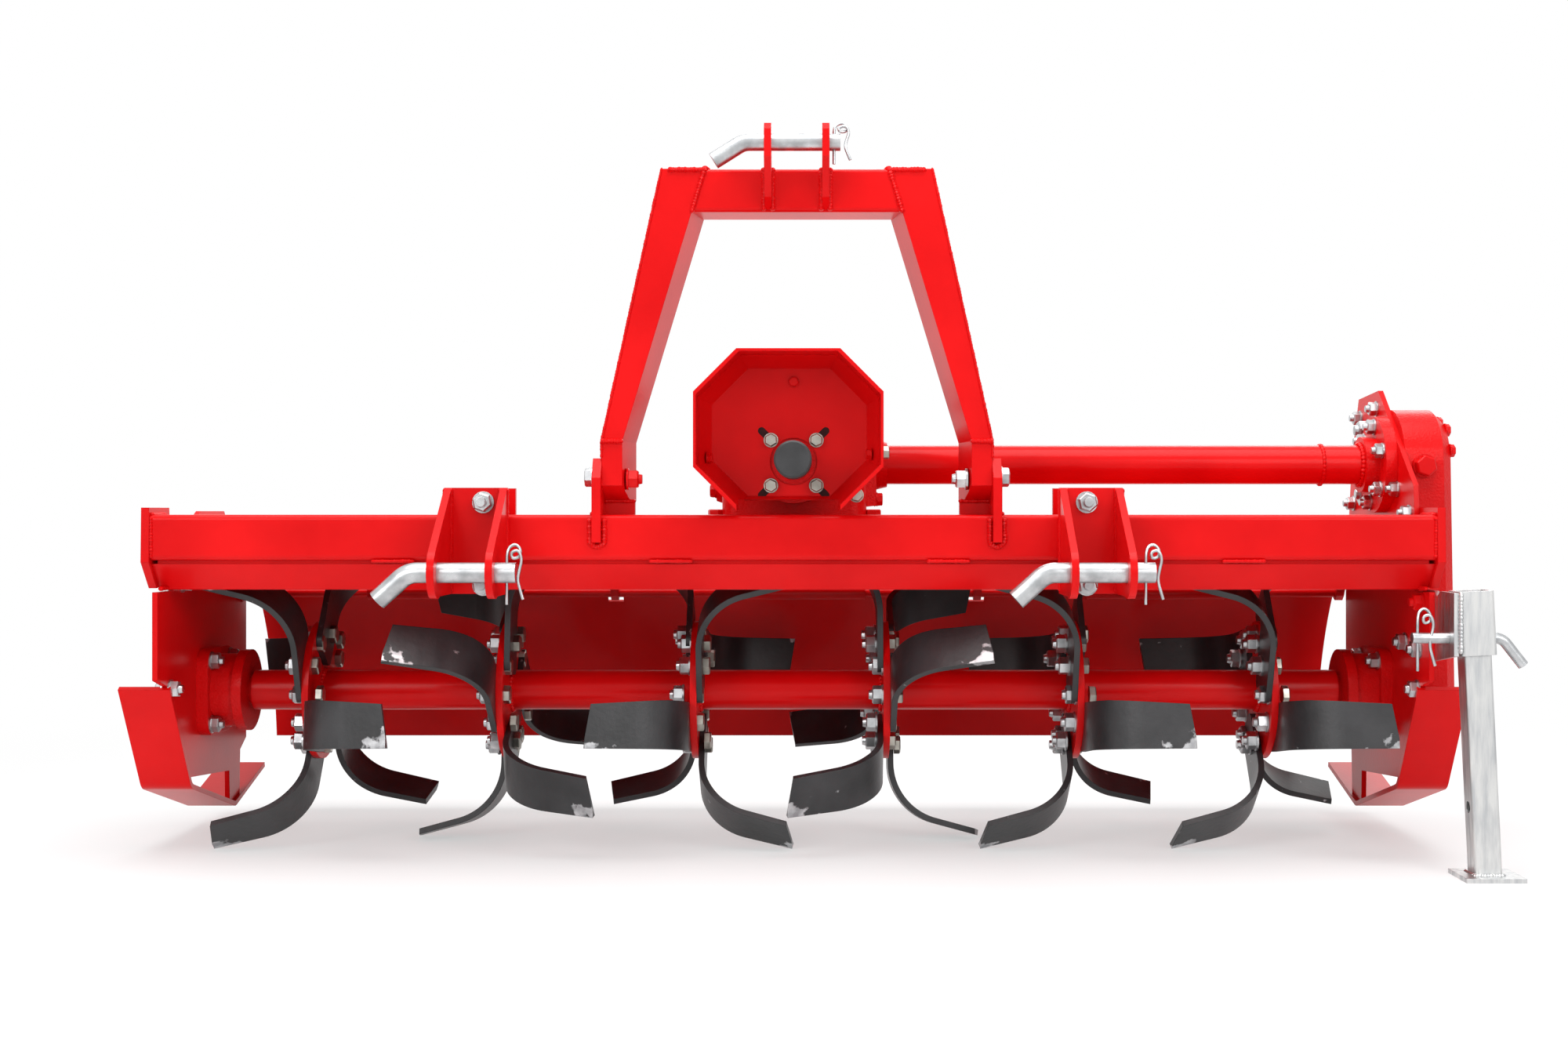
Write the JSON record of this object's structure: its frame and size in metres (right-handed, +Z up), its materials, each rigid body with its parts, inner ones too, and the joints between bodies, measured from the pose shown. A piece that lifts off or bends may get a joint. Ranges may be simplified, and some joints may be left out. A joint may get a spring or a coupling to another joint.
{
  "type": "rotavator",
  "caption": "Hooded rotary tiller for a compact tractor, with bolted tines, chain drive, three-point hitch, rear flap and parking stand.",
  "frame": {"origin": "bottom centre of the whole machine, on the ground it is parked on", "axes": "+X to the chain case side, across the machine; +Y back from the hitch; +Z up"},
  "size_m": [1.5716, 0.5796, 0.829],
  "materials": {
    "red_paint": "gloss red powder coat",
    "black_paint": "semi-gloss black paint on forged steel",
    "zinc_pins": "bright zinc plate",
    "brushed_zinc": "satin zinc plate",
    "machined_steel": "machined and oiled",
    "black_plastic": "matt black cap"
  },
  "bodies": {
    "frame": {"main_bar": "red_paint", "bar_end_plates": "red_paint", "deck": "red_paint", "front_lip": "red_paint", "side_plate_left": "red_paint", "side_plate_right": "red_paint", "skid_left": "red_paint", "skid_right": "red_paint", "mast_leg_left": "red_paint", "mast_leg_right": "red_paint", "mast_ears": "red_paint", "mast_beam": "red_paint", "top_link_ears": "red_paint", "hitch_bracket_left": "red_paint", "hitch_clamp_left": "red_paint", "lower_link_pin_left": "zinc_pins", "hitch_bracket_right": "red_paint", "hitch_clamp_right": "red_paint", "lower_link_pin_right": "zinc_pins", "top_link_pin": "zinc_pins", "gearbox": "red_paint", "gearbox_mount": "red_paint", "pto_shield": "red_paint", "drive_tube": "red_paint", "drive_flange": "red_paint", "chain_case": "red_paint", "rotor_bearing_left": "red_paint", "rotor_bearing_right": "red_paint", "hinge_rod": "red_paint", "hinge_lugs": "red_paint", "stand_socket": "brushed_zinc", "stand_bracket": "brushed_zinc", "stand_pin": "zinc_pins"},
    "rotor": {"rotor_tube": "red_paint", "tines_1": "black_paint", "tines_2": "black_paint", "tines_3": "black_paint", "tines_4": "black_paint", "tines_5": "black_paint", "tines_6": "black_paint"},
    "pto_shaft": {"pto_shaft": "machined_steel", "pto_cap": "black_plastic"},
    "stand": {"stand_leg": "brushed_zinc", "stand_foot": "brushed_zinc"},
    "rear_flap": {"rear_flap": "red_paint"}
  },
  "joints": [
    {"name": "rotor_spin", "type": "hinge", "parent": "frame", "child": "rotor", "pos_m": [-0.01875, 0.02485, 0.18512], "axis": [1, 0, 0], "continuous": true},
    {"name": "pto_spin", "type": "hinge", "parent": "frame", "child": "pto_shaft", "pos_m": [-0.01875, -0.17515, 0.458], "axis": [0, 1, 0], "continuous": true},
    {"name": "stand_slide", "type": "slide", "parent": "frame", "child": "stand", "axis": [-0.0488, 0, 0.9988], "range_m": [0, 0.18522]},
    {"name": "rear_flap_hinge", "type": "hinge", "parent": "frame", "child": "rear_flap", "pos_m": [-0.01875, 0.19885, 0.296], "axis": [1, 0, 0], "range_deg": [0, 65]}
  ],
  "couplings": [
    {"joint": "pto_spin", "follows": "rotor_spin", "ratio": -2.57}
  ]
}
